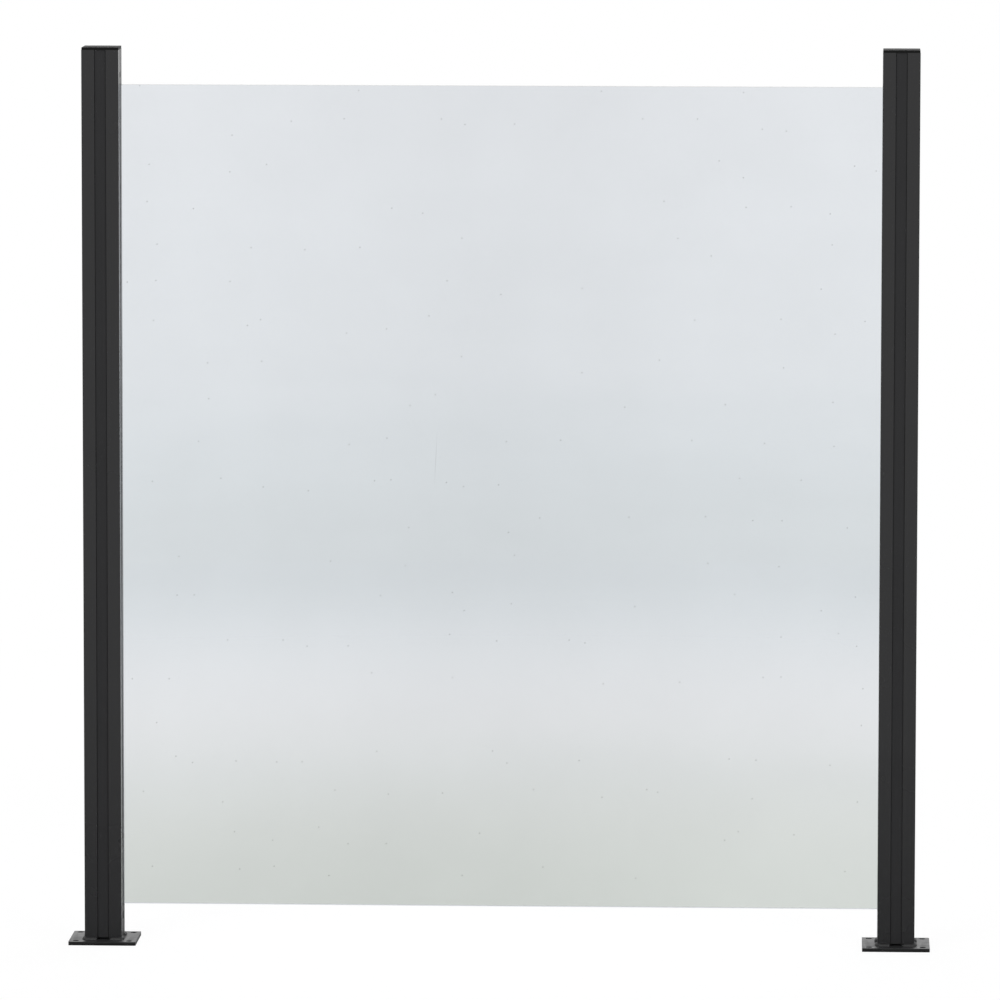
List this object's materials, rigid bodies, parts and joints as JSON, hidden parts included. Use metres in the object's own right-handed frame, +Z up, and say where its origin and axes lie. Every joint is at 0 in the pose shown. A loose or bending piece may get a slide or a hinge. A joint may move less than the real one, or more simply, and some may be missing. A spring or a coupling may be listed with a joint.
{
  "type": "glass fence panel",
  "caption": "Glass fence bay: a pane of glass gasketed into two grooved square posts, each welded to a base plate with fixing holes.",
  "frame": {"origin": "centre of the left base plate's underside", "axes": "+X along the fence from the left post to the right post, +Y through the fence from front to back, +Z up"},
  "size_m": [1.047, 0.082, 1.092],
  "materials": {
    "post_coating": "satin",
    "cover_coating": "satin",
    "cap_plastic": "matte",
    "block_nylon": "matte",
    "gasket_rubber": "matte",
    "pane_glass": "gloss"
  },
  "bodies": {
    "root": {"left_post": "post_coating", "left_base_plate": "post_coating", "left_weld": "post_coating", "left_cap": "cap_plastic", "left_front_cover": "cover_coating", "left_back_cover": "cover_coating", "left_outer_cover": "cover_coating", "left_top_filler": "cover_coating", "left_stop_block": "block_nylon", "left_glass_rest": "block_nylon", "left_rest_pad": "gasket_rubber", "left_front_gasket": "gasket_rubber", "left_back_gasket": "gasket_rubber", "right_post": "post_coating", "right_base_plate": "post_coating", "right_weld": "post_coating", "right_cap": "cap_plastic", "right_front_cover": "cover_coating", "right_back_cover": "cover_coating", "right_outer_cover": "cover_coating", "right_top_filler": "cover_coating", "right_stop_block": "block_nylon", "right_glass_rest": "block_nylon", "right_rest_pad": "gasket_rubber", "right_front_gasket": "gasket_rubber", "right_back_gasket": "gasket_rubber", "glass_pane": "pane_glass"}
  },
  "joints": []
}
